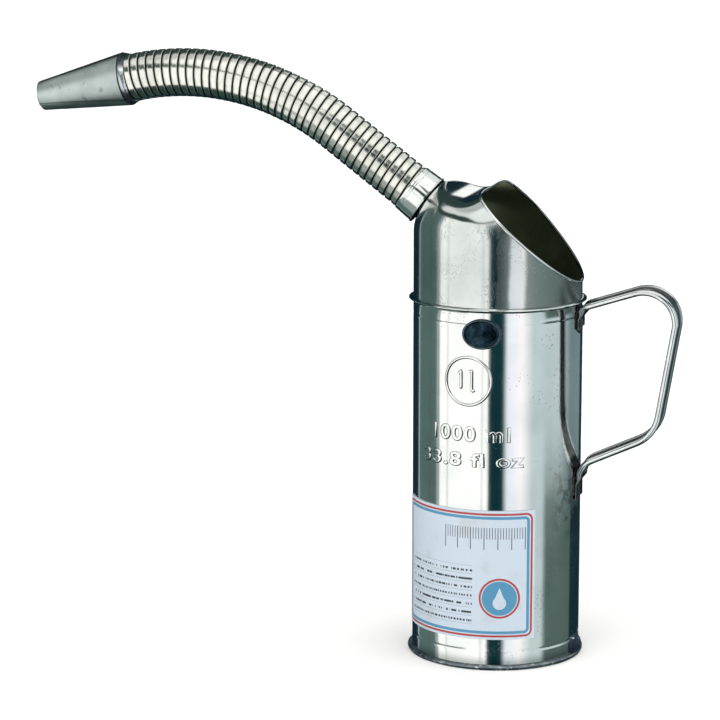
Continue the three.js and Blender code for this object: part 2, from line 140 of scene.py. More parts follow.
# Painted shade line on the nozzle: its level round the cone at the root, and its climb along the cone
LAP_LINE_LEVEL = -0.75
LAP_LINE_CLIMB = 0.27
# One turn of the strip: (depth in millimetres, share of the turn's length): band, ledge and groove
HOSE_SECTION = (
    (1.00, 0), (0.95, 0.06), (0.24, 0.085), (0.07, 0.105), (0, 0.135), (0, 0.165), (0, 0.69), (0, 0.72),
    (0.07, 0.745), (0.50, 0.765), (0.50, 0.79), (0.53, 0.88), (0.95, 0.91), (1.00, 1),
)
# Collar: (radius, height) in millimetres, out from the hose, round the flange and back in
COLLAR_SECTION = (
    (12.75, 0), (13.05, 0.1), (13.65, 1.5), (13.75, 2.2), (13.98, 2.4), (14.1, 2.52), (14.1, 2.76),
    (13.98, 2.88), (13.86, 3.16), (13.62, 3.4), (12.75, 3.4), (12.75, 1.7),
)

# Handle
HANDLE_WIDTH = 18 * MM
HANDLE_WEB = 1.2 * MM
HANDLE_BEAD_RADIUS = 1.7 * MM
HANDLE_BEAD_STEPS = 14
HANDLE_FOOT_X = 44.95 * MM
HANDLE_START_Z = 172.5 * MM
HANDLE_ANGLE = 90
HANDLE_UPPER_FOOT = 5 * MM
HANDLE_LOWER_FOOT = 8 * MM
HANDLE_FOOT_EASE = 3 * MM
HANDLE_FOOT_FLAT = 0.28
HANDLE_SPIN_STEP = 5
# From the upper foot on: (length of a straight run or radius of a bend, turn in degrees)
HANDLE_RUNS = (
    (4 * MM, -72), (25.8 * MM, 0), (16 * MM, -117.5), (46 * MM, 0),
    (19 * MM, -56), (25.55 * MM, 0), (10.8 * MM, 65.5),
)

# Things on the wall
SEAL_ANGLE = 1.5
SEAL_Z = 174.4 * MM
SEAL_WIDTH = 20.3 * MM
SEAL_HEIGHT = 15.5 * MM
SEAL_THICKNESS = 1.5 * MM
SEAL_SUNK = 0.2 * MM
SEAL_BACK = (0.05, 0.4, 0.9)
# Face of the seal: (share of its half width, share of its thickness), from the edge to the centre
SEAL_SECTION = (
    (0.985, 0), (1, 0.35), (0.985, 0.80), (0.94, 1), (0.88, 0.98), (0.82, 0.66), (0.76, 0.54), (0.6, 0.58),
    (0.4, 0.64), (0.16, 0.68), (0.11, 0.84), (0.04, 0.86),
)
UPPER_SOLDER_SPAN = (169.5 * MM, 184.5 * MM)
LOWER_SOLDER_SPAN = (81.5 * MM, 101 * MM)
FOOT_SOLDER_WIDTH = 21 * MM
FOOT_SOLDER_DEPTH = 0.7 * MM
LUMP_ANGLE = 84.5
LUMP_SPAN = (0.4 * MM, 10.8 * MM)
LUMP_WIDTH = 16 * MM
LUMP_DEPTH = 2.6 * MM
LABEL_FROM = -70
LABEL_TO = 39
LABEL_WIDTH = math.radians(LABEL_TO - LABEL_FROM) * CAN_RADIUS
LABEL_Z = 16 * MM
LABEL_HEIGHT = 67.5 * MM
LABEL_LIFT = 0.3 * MM
LABEL_THICKNESS = 0.25 * MM
MARK_ANGLE = -8
RING_Z = 150 * MM
RING_RADIUS = 12.25 * MM
RING_BEAD = 0.8 * MM
RING_FLAT = 0.7
# Rows of raised figures: name, words, height on the can, size of the letters, width
ROWS = (
    ("embossed_millilitres", "1000 ml", 119.3 * MM, 10.5 * MM, 43 * MM),
    ("embossed_ounces", "33.8 fl oz", 106.2 * MM, 9.5 * MM, 58.6 * MM),
)
ROW_SPACING = 1.15
ROW_THINNING = -0.2 * MM
ROW_FLAT_HALF = 0.05 * MM
ROW_BEAD = 0.7 * MM
BEAD_FINENESS = 4
# Strokes of the litre mark, in millimetres from the ring's centre
ONE_STROKE = ((-4.9, 3.5), (-3.5, 5.1), (-3.5, -4.1))
ELL_STROKE = ((0.9, 4.7), (2.2, 5.4), (2.2, -4.0), (2.8, -4.9), (3.7, -4.3))
STROKE_BEAD = 0.9 * MM
STROKE_CUTS = 15
STROKE_END = 0.6
# Direction, on a flat figure, of the flanks that get painted shade
LEE = (0.6, -0.8, 0)
FIGURE_PROUD = 0.1 * MM
FIGURE_FLAT = 0.62

# Tolerances; a plane cuts each edge exactly, without snapping to near points
FINE_CUT = 1e-7
MERGE_GAP = 0.002 * MM
NEAR = 0.01 * MM


# Modelling
def begin(name, primitive, **settings):
    """Adds a primitive at its size and place, with that place in its mesh."""
    bpy.ops.object.select_all(action="DESELECT")
    primitive(**settings)
    piece = bpy.context.object
    piece.name = name
    piece.data.name = name
    bpy.ops.object.transform_apply(location=True, rotation=True, scale=True)
    return piece


def begin_outline(name, points, edges=(), faces=()):
    """A piece that starts as a drawn outline: points joined by edges, or by one face."""
    mesh = bpy.data.meshes.new(name)
    mesh.from_pydata(points, edges, faces)
    piece = put_in_scene(name, mesh)
    take_up(piece)
    return piece


def put_in_scene(name, data):
    """A new object with the given data."""
    made = bpy.data.objects.new(name, data)
    bpy.context.scene.collection.objects.link(made)
    return made


def take_up(piece):
    """Makes the piece the only one that operators act on."""
    bpy.ops.object.select_all(action="DESELECT")
    piece.select_set(True)
    bpy.context.view_layer.objects.active = piece


@contextmanager
def editing(piece):
    """Works on a piece in edit mode, with all of it selected at first."""
    take_up(piece)
    bpy.ops.object.mode_set(mode="EDIT")
    bpy.ops.mesh.select_mode(type="VERT")
    bpy.ops.mesh.select_all(action="SELECT")
    yield
    bpy.ops.object.mode_set(mode="OBJECT")


def choose(piece, kind, wanted):
    """In edit mode, selects just the points (VERT) or the faces (FACE) whose place passes the test."""
    bpy.ops.mesh.select_mode(type=kind)
    bpy.ops.mesh.select_all(action="DESELECT")
    mesh = bmesh.from_edit_mesh(piece.data)
    for part in mesh.verts if kind == "VERT" else mesh.faces:
        place = part.co if kind == "VERT" else part.calc_center_median()
        part.select_set(wanted(place))
    mesh.select_flush_mode()
    bmesh.update_edit_mesh(piece.data)


def cut(piece, at, across, **choices):
    """Cuts a piece by a plane."""
    with editing(piece):
        bpy.ops.mesh.bisect(plane_co=at, plane_no=across, threshold=FINE_CUT, **choices)


def scale_piece(piece, x, y, z):
    """Scales a piece about the origin."""
    with editing(piece):
        bpy.ops.transform.resize(value=(x, y, z), center_override=(0, 0, 0))


def apply_modifier(piece, kind, **settings):
    """Adds a modifier, sets it and applies it."""
    take_up(piece)
    made = piece.modifiers.new(kind.lower(), kind)
    for name, value in settings.items():
        setattr(made, name, value)
    bpy.ops.object.modifier_apply(modifier=made.name)


def close_up(piece):
    """Merges doubles and turns every face outwards."""
    with editing(piece):
        bpy.ops.mesh.remove_doubles(threshold=MERGE_GAP)
        bpy.ops.mesh.normals_make_consistent(inside=False)


def step_out(piece, wanted, step):
    """Raises the faces whose centre passes the test, as where a sheet laps over itself."""
    with editing(piece):
        bpy.ops.mesh.normals_make_consistent(inside=False)
        choose(piece, "FACE", wanted)
        bpy.ops.mesh.extrude_region_shrink_fatten(TRANSFORM_OT_shrink_fatten={"value": step})


def thicken(piece, thickness, *finishes):
    """Gives a sheet its thickness inwards; of two finishes, the second goes on the inner face."""
    for finish in finishes:
        piece.data.materials.append(finish)
    close_up(piece)
    inner_slot = 1 if finishes else 0
    apply_modifier(
        piece, "SOLIDIFY", thickness=thickness, offset=-1, use_even_offset=True, material_offset=inner_slot
    )


def smooth(piece, angle=40):
    """Shades a piece smooth, apart from edges that are sharper than the angle."""
    take_up(piece)
    bpy.ops.object.shade_smooth_by_angle(angle=math.radians(angle))


def ripple(piece, strength, size, middle=0.5, depth=2):
    """Pushes the surface in and out along its normals by a cloudy pattern of the given grain."""
    clouds = bpy.data.textures.new(piece.name + "_ripple", "CLOUDS")
    clouds.noise_scale = size
    clouds.noise_depth = depth
    apply_modifier(
        piece, "DISPLACE", texture=clouds, texture_coords="LOCAL", strength=strength, mid_level=middle
    )


def mesh_points(piece):
    """Places of a mesh's points, one row each."""
    flat = np.empty(len(piece.data.vertices) * 3)
    piece.data.vertices.foreach_get("co", flat)
    return flat.reshape(-1, 3)


def set_mesh_points(piece, points):
    piece.data.vertices.foreach_set("co", np.asarray(points).ravel())
    piece.data.update()


def round_off(piece, radius, end=1):
    """Makes a bead out of a bare line, narrowed at its ends to a share of the radius."""
    take_up(piece)
    bpy.ops.object.convert(target="CURVE")
    for spline in piece.data.splines:
        spline.points[0].radius = end
        spline.points[-1].radius = end
    piece.data.bevel_depth = radius
    piece.data.bevel_resolution = BEAD_FINENESS
    piece.data.use_fill_caps = end < 1
    bpy.ops.object.convert(target="MESH")


def mark_points(piece, name, values):
    """Gives each point of a mesh a value that a shader can read."""
    mark = piece.data.attributes.new(name, "FLOAT", "POINT")
    mark.data.foreach_set("value", values.astype(np.float32))


def turned(name, profile, sides=CAN_SIDES, closed=False):
    """A ring of edges drawn up through the profile's (radius, height) points; closed fills both ends."""
    radius, height = profile[0]
    piece = begin(
        name, bpy.ops.mesh.primitive_circle_add, vertices=sides, radius=radius, location=(0, 0, height)
    )
    with editing(piece):
        if closed:
            bpy.ops.mesh.edge_face_add()
        for (radius, height), (next_radius, next_height) in pairwise(profile):
            rise = next_height - height
            growth = next_radius / radius
            bpy.ops.mesh.extrude_edges_move(TRANSFORM_OT_translate={"value": (0, 0, rise)})
            bpy.ops.transform.resize(value=(growth, growth, 1), center_override=(0, 0, next_height))
        if closed:
            bpy.ops.mesh.edge_face_add()
    return piece


def sleeve(name, profile):
    """A turned tube, closed along the inner wall on which its profile starts and ends."""
    inner = profile[0][0]
    last = profile[-1][1]
    piece = turned(name, profile, SMALL_SIDES)
    with editing(piece):
        choose(piece, "VERT", lambda at: abs(at.xy.length - inner) < NEAR and at.z < last + NEAR)
        bpy.ops.mesh.bridge_edge_loops()
    close_up(piece)
    return piece


def wrap_on_can(piece, angle, height):
    """Bends a piece modelled flat (x across, y up, z outwards) round the can's wall."""
    x, y, z = mesh_points(piece).T
    turn = math.radians(angle) + x / CAN_RADIUS
    reach = CAN_RADIUS + z
    set_mesh_points(piece, np.column_stack((reach * np.sin(turn), -reach * np.cos(turn), height + y)))


def set_down(piece, body, slot, finish, *replaced):
    """Gives a piece its finish and its body, unless it has them, and hides the nodes it stands for; its slot
    is not used.
    """
    if finish is not None:
        piece.data.materials.append(finish)
    if body is not None:
        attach(piece, body)
    if replaced:
        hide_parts(*replaced)


# Shader nodes
def overload(operation, reflected=False):
    """An operator that adds a Math node; reflected, its operands change places."""
    def method(self, other):
        return self.math(operation, other, self) if reflected else self.math(operation, self, other)
    return method


class Signal:
    """One socket of a node tree. Arithmetic on it adds Math nodes, and node() adds any other."""

    def __init__(self, tree, socket=None):
        self.tree = tree
        self.socket = socket

    def node(self, kind, inputs=None, output=0, **settings):
        """Adds a node, with its settings set first and its sockets filled or linked, and gives an output."""
        made = self.tree.nodes.new(kind)
        for name, value in settings.items():
            if name == "stops":
                set_stops(made.color_ramp.elements, value)
            else:
                setattr(made, name, value)
        for name, value in (inputs or {}).items():
            if isinstance(value, Signal):
                self.tree.links.new(value.socket, made.inputs[name])
            else:
                made.inputs[name].default_value = value
        return Signal(self.tree, made.outputs[output] if made.outputs else None)

    def math(self, operation, *values):
        return self.node("ShaderNodeMath", dict(enumerate(values)), operation=operation)

    def __abs__(self):
        return self.math("ABSOLUTE", self)

    __add__ = __radd__ = overload("ADD")
    __mul__ = __rmul__ = overload("MULTIPLY")
    __sub__ = overload("SUBTRACT")
    __rsub__ = overload("SUBTRACT", True)
    __truediv__ = overload("DIVIDE")
    __rtruediv__ = overload("DIVIDE", True)
    __pow__ = overload("POWER")
    __rpow__ = overload("POWER", True)
    __gt__ = overload("GREATER_THAN")
    __lt__ = overload("LESS_THAN")

    def between(self, low, high):
        """One from low to high, nought elsewhere."""
        return (self > low) * (self < high)

    def ease(self, low, high, to_low=0.0, to_high=1.0):
        """A soft step: to_low below low, to_high above high."""
        limits = {"From Min": low, "From Max": high, "To Min": to_low, "To Max": to_high}
        return self.node("ShaderNodeMapRange", {"Value": self, **limits}, interpolation_type="SMOOTHSTEP")

    def band(self, low, full, fading, gone):
        """A soft band: nought below low, one from full to fading, nought above gone."""
        return self.ease(low, full) * self.ease(fading, gone, 1, 0)

    def axis(self, name):
        """One component of a vector socket."""
        return self.node("ShaderNodeSeparateXYZ", {0: self}, name)

    def stretch(self, x, y, z):
        """A vector socket scaled along each axis."""
        return self.node("ShaderNodeVectorMath", {0: self, 1: (x, y, z)}, operation="MULTIPLY")

    def noise(self, scale, detail=3.0, roughness=0.5):
        """Cloudy noise of the given scale on a vector socket."""
        grain = {"Scale": scale, "Detail": detail, "Roughness": roughness}
        return self.node("ShaderNodeTexNoise", {"Vector": self, **grain})

    def cells(self, scale):
        """Distance to the nearest of scattered points on a vector socket."""
        return self.node("ShaderNodeTexVoronoi", {"Vector": self, "Scale": scale})

    def mix(self, low, high):
        """A colour from low to high, with this socket as the factor."""
        ends = [end if isinstance(end, Signal) else (*end, 1) for end in (low, high)]
        return self.node("ShaderNodeMix", {0: self, 6: ends[0], 7: ends[1]}, 2, data_type="RGBA")

    def tones(self, low, high):
        """A colour that drifts from low to high with a cloudy socket."""
        return self.ease(0.3, 0.7).mix(low, high)

    def attribute(self, name):
        """Values that the points of a mesh carry under a name."""
        return self.node("ShaderNodeAttribute", output="Fac", attribute_name=name)


def set_stops(elements, stops):
    """Gives a colour ramp its (position, colour) stops."""
    while len(elements) > 1:
        elements.remove(elements[-1])
    elements[0].position = stops[0][0]
    elements[0].color = (*stops[0][1], 1)
    for position, colour in stops[1:]:
        elements.new(position).color = (*colour, 1)


def shader(draw):
    """Turns a function that draws a shader on a Signal and a place into one that makes its material."""
    def make(name=draw.__name__, *choices):
        material = bpy.data.materials.new(name)
        material.use_nodes = True
        material.node_tree.nodes.clear()
        paint = Signal(material.node_tree)
        draw(paint, paint.node("ShaderNodeTexCoord", output="Object"), *choices)
        return material
    return make


def close_finish(paint, bump=None, bump_depth=None, **inputs):
    """Ends a material in a Principled shader; bump is a height socket of the given depth in metres."""
    sockets = {name.replace("_", " "): value for name, value in inputs.items()}
    if bump is not None:
        sockets["Normal"] = paint.node("ShaderNodeBump", {"Height": bump, "Distance": bump_depth})
    surface = paint.node("ShaderNodeBsdfPrincipled", sockets)
    paint.node("ShaderNodeOutputMaterial", {"Surface": surface})


# Finishes
def angle_signal(place):
    """Degrees round the can from the front towards the handle."""
    return place.math("ARCTAN2", place.axis("X"), 0 - place.axis("Y")) * (180 / math.pi)


def proud_signal(place):
    """Millimetres outwards from the can's wall."""
    return (place.axis("X") ** 2 + place.axis("Y") ** 2) ** 0.5 / MM - CAN_RADIUS / MM


@shader
def bright_tin(paint, place):
    """Mirror-like tinplate: faint clouding, fine drawn streaks, and clustered pits, most near the handle;
    darker towards the bottom, with painted shade on a patch towards the handle, on the top seam away from the
    front and on the mouth's hem on the handle side.
    """
    cloud = place.noise(45, 4)
    streak = place.stretch(900, 900, 14).noise(1, 2)
    angle = angle_signal(place)
    height = place.axis("Z")
    handle_side = angle.ease(15, 70)
    pit = place.cells(620).ease(0.10, 0.20)
    pitted = (place.noise(60, 3) + 0.13 * handle_side).ease(0.56, 0.66)
    mark = 1 - (1 - pit) * pitted
    foot = height.ease(2.4 * MM, 8 * MM)
    # A blotchy patch towards the handle, painted dark as shade.
    painted_shade_patch = angle.ease(45, 70) * height.band(60 * MM, 80 * MM, 95 * MM, 112 * MM)
    painted_shade_patch = painted_shade_patch * place.noise(130, 4, 0.6).ease(0.46, 0.60)
    front = angle.band(-68, -58, 84, 94)
    # The top seam is painted dark as shade away from the front, and the mouth's hem on the handle side too.
    rolled = height.between(TOP_SEAM_Z, HOOD_BASE + 3 * MM) * (1 - front)
    far_rim = height.ease(190 * MM, 194 * MM) * angle.ease(90, 100)
    tone = cloud.tones((0.72, 0.745, 0.735), (0.84, 0.85, 0.83))
    # The pits are real marks; the wall is darker towards the bottom, and the patch, the seam and the far hem
    # carry painted shade.
    unpitted_and_unshaded = mark * (0.45 + 0.55 * foot) * (1 - 0.6 * painted_shade_patch) * (1 - 0.85 * rolled) * (1 - 0.95 * far_rim)
    tone_with_pits_and_painted_shade = unpitted_and_unshaded.mix((0.07, 0.09, 0.085), tone)
    roughness = 0.06 + 0.05 * cloud + 0.04 * streak + 0.25 * (1 - mark)
    relief = 0.4 * streak + 1.2 * mark + 1.6 * place.noise(30, 1)
    close_finish(paint, relief, 0.012 * MM, Base_Color=tone_with_pits_and_painted_shade, Metallic=1.0, Roughness=roughness)


@shader
def beaded_tin(paint, place):
    """Tin of the handle, with painted shade in the trough between its two beads and on its feet against the
    wall.
    """
    cloud = place.noise(90, 4, 0.6)
    # Painted shade in the trough between the beads and on the feet against the wall.
    trough = abs(place.axis("Y")).ease(5.7 * MM, 6.4 * MM, 1, 0)
    painted_shade = trough * cloud.ease(0.25, 0.75, 0.75, 1.0)
    foot = place.axis("X").ease(46.2 * MM, 49 * MM, 0.75, 0)
    tone = cloud.tones((0.60, 0.63, 0.63), (0.76, 0.775, 0.775))
    colour = painted_shade.mix(tone, (0.02, 0.03, 0.035))
    colour = foot.mix(colour, (0.06, 0.075, 0.10))
    rub = place.stretch(300, 1200, 300).noise(1, 2)
    close_finish(paint, 0.6 * rub + cloud, 0.02 * MM,
                 Base_Color=colour, Metallic=1.0, Roughness=0.09 + 0.08 * cloud + 0.22 * painted_shade)


@shader
def base_tin_painted_dark(paint, place):
    """Tin of the base, painted dark for the dark floor it reflects, and scuffed bright in places."""
    cloud = place.noise(110, 5, 0.6)
    scuff = place.noise(420, 3).ease(0.58, 0.68)
    # Painted reflection: a dark tone for the dark floor that the base reflects; the scuffs are real wear.
    tone = cloud.tones((0.13, 0.16, 0.19), (0.36, 0.41, 0.45))
    colour = scuff.mix(tone, (0.70, 0.72, 0.71))
    close_finish(paint, cloud + 0.5 * scuff, 0.03 * MM,
                 Base_Color=colour, Metallic=0.9, Roughness=0.24 + 0.2 * cloud)


@shader
def pressed_tin(paint, place):
    """Tin of the raised figures, with painted shade round their feet and on their lower sides."""
    cloud = place.noise(220, 3)
    # Painted shade round the figures' feet and on their flanks that face down and to the right.
    lee = paint.attribute("lee")
    foot = (proud_signal(place) + 0.14 * cloud).ease(0.16, 0.40, 1, 0)
    painted_shade = paint.math("MAXIMUM", foot, lee.ease(0.06, 0.35))
    tone = cloud.tones((0.74, 0.76, 0.75), (0.86, 0.87, 0.85))
    colour = painted_shade.mix(tone, (0.03, 0.05, 0.055))
    close_finish(paint, cloud, 0.01 * MM,
                 Base_Color=colour, Metallic=1.0, Roughness=0.08 + 0.06 * cloud + 0.2 * painted_shade)


@shader
def drawn_tin(paint, place):
    """Duller tin of the hood: speckled, scratched across the draw, with painted shade on its handle side bar
    one bright streak.
    """
    cloud = place.noise(40, 5)
    speck = place.cells(900).ease(0.12, 0.34)
    speckled = 1 - (1 - speck) * place.noise(70, 2).ease(0.42, 0.62)
    grain = place.noise(1600, 2)
    scratch = place.stretch(60, 60, 1500).noise(1, 2).ease(0.60, 0.72)
    angle = angle_signal(place) + 8 * (cloud - 0.5)
    # The hood's handle side is painted dark as shade, bar one band left bright where a reflection falls.
    streak = angle.band(18, 22, 29, 33)
    painted_side_shade = angle.ease(10, 13) * (1 - streak)
    tone = cloud.tones((0.53, 0.57, 0.555), (0.66, 0.69, 0.675))
    tone = (0.85 * painted_side_shade).mix(tone, (0.17, 0.215, 0.20))
    fleck = place.cells(760).ease(0.10, 0.24, 1, 0) * place.noise(90, 3).ease(0.44, 0.60)
    tone = (0.8 * fleck * painted_side_shade).mix(tone, (0.50, 0.55, 0.53))
    colour = (speckled * 0.6 + 0.4).mix((0.22, 0.26, 0.25), tone)
    roughness = 0.10 + 0.05 * cloud + 0.10 * (1 - speckled) - 0.03 * scratch + 0.17 * painted_side_shade
    height = 0.5 * grain + 1.4 * speckled + 0.5 * scratch
    close_finish(paint, height, 0.014 * MM, Base_Color=colour, Metallic=1.0, Roughness=roughness)


@shader
def oily_inside(paint, place):
    """Inside of the tin, dulled by years of oil, with painted light towards the top of the mouth."""
    cloud = place.noise(28, 4)
    film = cloud.tones((0.10, 0.125, 0.07), (0.20, 0.235, 0.14))
    # Painted light: paler and less metallic towards the top of the mouth, where light comes in.
    painted_light_at_mouth = place.axis("Z").ease(235 * MM, 242 * MM, 0, 0.9)
    film = painted_light_at_mouth.mix(film, (0.60, 0.60, 0.38))
    close_finish(paint, place.noise(300, 2), 0.02 * MM,
                 Base_Color=film, Metallic=0.85 - 0.7 * painted_light_at_mouth, Roughness=0.32 + 0.2 * cloud)


@shader
def wound_steel(paint, place):
    """Bright strip of the spout hose, with painted shade down in its grooves."""
    depth = paint.attribute("groove")
    cloud = place.noise(120, 4)
    grain = place.noise(1400, 2)
    tone = cloud.tones((0.66, 0.665, 0.61), (0.81, 0.81, 0.75))
    # Painted shade in the groove, from the depth that the strip marks.
    painted_groove_shade = (depth + 0.25 * cloud).ease(0.55, 0.95)
    colour = painted_groove_shade.mix(tone, (0.035, 0.038, 0.035))
    close_finish(paint, grain, 0.01 * MM,
                 Base_Color=colour, Metallic=1.0, Roughness=0.12 + 0.10 * cloud + 0.4 * painted_groove_shade)


@shader
def dull_zinc(paint, place):
    """Dull zinc grey of the nozzle, cloudy and lightly rubbed, with painted shade along its top, its
    underside and the edge of its lap on the front.
    """
    root = Vector(spout_point(NOZZLE_FROM))
    ahead = (Vector(spout_point(NOZZLE_FROM + NOZZLE_LENGTH)) - root).normalized()
    right = place.axis("X") - root.x
    above = place.axis("Z") - root.z
    along = (right * ahead.x + above * ahead.z) / NOZZLE_LENGTH
    reach = NOZZLE_RADIUS + (NOZZLE_TIP_RADIUS - NOZZLE_RADIUS) * along
    level = (above * -ahead.x + right * ahead.z) / reach
    # A painted shade line along the lap's edge on the front half, and painted shade along the top and the
    # underside.
    lap = abs(level - LAP_LINE_CLIMB * along - LAP_LINE_LEVEL).ease(0.02, 0.06, 0.55, 0)
    lap = lap * place.axis("Y").ease(-1 * MM, 1 * MM, 1, 0)
    painted_edge_shade = level.ease(0.84, 0.93, 0, 0.85) + level.ease(-0.98, -0.93, 0.85, 0) + lap
    cloud = place.noise(70, 5, 0.6)
    rub = place.stretch(900, 300, 900).noise(1, 2)
    stain = place.noise(240, 3).ease(0.62, 0.72)
    tone = cloud.tones((0.51, 0.58, 0.565), (0.65, 0.72, 0.705))
    colour = (0.5 * stain).mix(tone, (0.20, 0.24, 0.23))
    colour = painted_edge_shade.mix(colour, (0.02, 0.035, 0.045))
    close_finish(paint, 0.6 * rub + cloud, 0.02 * MM,
                 Base_Color=colour, Metallic=1.0, Roughness=0.42 + 0.08 * cloud + 0.05 * rub)


@shader
def grey_solder(paint, place):
    """Solder of the collar: cloudy bright and dark metal, with painted shade at its top and along its
    underside.
    """
    cloud = place.noise(260, 4, 0.6)
    stain = cloud.ease(0.32, 0.50)
    tone = stain.mix((0.14, 0.16, 0.16), (0.70, 0.74, 0.74))
    height = place.axis("Z") - spout_point(COLLAR_FROM)[2]
    # Painted shade at the collar's top and along its underside.
    burnt = height.ease(5 * MM, 8 * MM, 0, 0.9) + height.ease(-7 * MM, -4 * MM, 0.9, 0)
    tone = burnt.mix(tone, (0.02, 0.03, 0.05))
    close_finish(paint, cloud + 0.4 * place.noise(1500, 2), 0.06 * MM,
                 Base_Color=tone, Metallic=0.9, Roughness=0.44 - 0.24 * stain)


@shader
def burnt_solder(paint, place, dark, pale):
    """Solder under burnt flux, nearly black, with bright specks."""
    cloud = place.noise(240, 4, 0.6)
    speck = place.noise(380, 3, 0.6).ease(0.58, 0.64)
    tone = cloud.ease(0.35, 0.7).mix(dark, pale)
    colour = speck.mix(tone, (0.60, 0.64, 0.66))
    close_finish(paint, cloud + 0.4 * speck, 0.12 * MM,
                 Base_Color=colour, Metallic=0.35 + 0.65 * speck, Roughness=0.30 - 0.10 * speck)


@shader
def seal_lead(paint, place):
    """Dark blue-black stamped seal, glossy, worn paler on its rim and its centre; on the rim the paler tone
    also stands for a painted highlight.
    """
    cloud = place.noise(320, 4, 0.6)
    # Paler on the raised rim and the centre: wear, and on the rim also a painted highlight.
    worn = (proud_signal(place) + 0.25 * (cloud - 0.5)).ease(1.26, 1.50)
    tone = cloud.ease(0.35, 0.75).mix((0.006, 0.016, 0.026), (0.028, 0.056, 0.080))
    colour = (0.3 * worn).mix(tone, (0.26, 0.33, 0.37))
    close_finish(paint, cloud + 0.3 * place.noise(1800, 2), 0.05 * MM,
                 Base_Color=colour, Metallic=1.0, Roughness=0.18 + 0.16 * cloud)


def rounded_frame(x, y, width, height, corner):
    """Signed distance to a rounded rectangle round the middle of the label, in its own units."""
    across = x.math("MAXIMUM", abs(x) - (width / 2 - corner), 0.0)
    up = y.math("MAXIMUM", abs(y) - (height / 2 - corner), 0.0)
    return (across * across + up * up) ** 0.5 - corner


@shader
def printed_paper(paint, place):
    """Pale coated paper printed with a double frame, ruled lines of writing, a ruler and a drop in a ring."""
    spot = paint.node("ShaderNodeUVMap", uv_map="UVMap")
    width = LABEL_WIDTH / MM
    height = LABEL_HEIGHT / MM
    x = (spot.axis("X") - 0.5) * width
    y = (spot.axis("Y") - 0.5) * height
    fibre = place.noise(1300, 3)
    worn = place.noise(55, 4, 0.6)
    paper = fibre.mix((0.53, 0.62, 0.72), (0.61, 0.69, 0.78))
    paper = worn.ease(0.55, 0.80).mix(paper, (0.50, 0.54, 0.58))
    red = (0.42, 0.05, 0.045)
    blue = (0.075, 0.28, 0.46)
    black = (0.035, 0.04, 0.055)
    outer = abs(rounded_frame(x, y, width - 3.6, height - 3.6, 3)) < 0.55
    inner = abs(rounded_frame(x, y, width - 7.4, height - 7.4, 2)) < 0.75
    ink = outer.mix(paper, red)
    ink = inner.mix(ink, blue)
    lines = (y + 26) / 4.4
    line = paint.math("FLOOR", lines)
    within = lines - line
    written = x.between(-34, 9) * y.between(-26, 5)
    rules = (within < 0.05) * written
    ink = rules.mix(ink, (0.30, 0.36, 0.45))
    letters = paint.node("ShaderNodeCombineXYZ", {0: x * 1.15, 1: line * 9.7}).noise(1, 0)
    words = (letters > 0.47) * within.between(0.30, 0.55) * written
    ink = words.mix(ink, black)
    short = (paint.math("PINGPONG", x + 6, 0.7) < 0.17) * x.between(-6.3, 36.3) * y.between(19, 25)
    long = (paint.math("PINGPONG", x + 6, 3.5) < 0.22) * x.between(-6.3, 36.3) * y.between(13.5, 25)
    ink = paint.math("MAXIMUM", short, long).mix(ink, black)
    out = ((x - 23) ** 2 + (y + 12) ** 2) ** 0.5
    ink = (out < 9).mix(ink, blue)
    ink = (abs(out - 10) < 0.55).mix(ink, red)
    rise = y + 14.5
    belly = ((x - 23) ** 2 + rise ** 2) ** 0.5 < 3.4
    neck = (abs(x - 23) < 3.25 - 0.40 * rise) * rise.between(0.8, 8.2)
    ink = paint.math("MAXIMUM", belly, neck).mix(ink, paper)
    close_finish(paint, fibre + 0.6 * worn, 0.02 * MM, Base_Color=ink, Roughness=0.36 + 0.12 * fibre)


@shader
def pale_floor(paint, place):
    mottle = place.noise(3, 3)
    colour = mottle.mix((0.94, 0.92, 0.91), (0.96, 0.94, 0.93))
    close_finish(paint, Base_Color=colour, Roughness=0.9)


# Route of the spout: a straight run and an arc in the XZ plane; headings turn from +X towards +Z
def spout_at(distance):
    """Point and heading of the hose's line at distances from the seat."""
    bend_length = BEND_RADIUS * math.radians(BEND_TURN)
    first = np.clip(distance, None, STRAIGHT_RUN)
    turn = np.clip((distance - STRAIGHT_RUN) / bend_length, 0, 1) * math.radians(BEND_TURN)
    last = np.clip(distance - STRAIGHT_RUN - bend_length, 0, None)
    start = math.radians(180 - SPOUT_RISE)
    heading = start + turn
    x = SEAT_CENTRE.x + first * math.cos(start)
    z = SEAT_CENTRE.z + first * math.sin(start)
    x = x + BEND_RADIUS * (np.sin(heading) - math.sin(start)) + last * np.cos(heading)
    z = z - BEND_RADIUS * (np.cos(heading) - math.cos(start)) + last * np.sin(heading)
    return x, z, heading


def lay_on_spout(piece, foot=0.0):
    """Bends a piece modelled along +Z on to the hose's line, its foot at a distance from the seat."""
    across, side, along = mesh_points(piece).T
    x, z, heading = spout_at(along + foot)
    x = x + across * np.sin(heading)
    z = z - across * np.cos(heading)
    set_mesh_points(piece, np.column_stack((x, side, z)))


def spout_point(distance):
    x, z, _ = spout_at(distance)
    return (float(x), 0.0, float(z))


# Can pieces
def groove(height):
    """Profile points of a shallow groove pressed round the wall."""
    half = GROOVE_HALF_WIDTH
    shape = ((1.8, 0), (1, 0), (0.6, 0.5), (0.25, 1))
    below = [(CAN_RADIUS - GROOVE_DEPTH * depth, height - half * out) for out, depth in shape]
    return below + [(radius, 2 * height - z) for radius, z in reversed(below)]


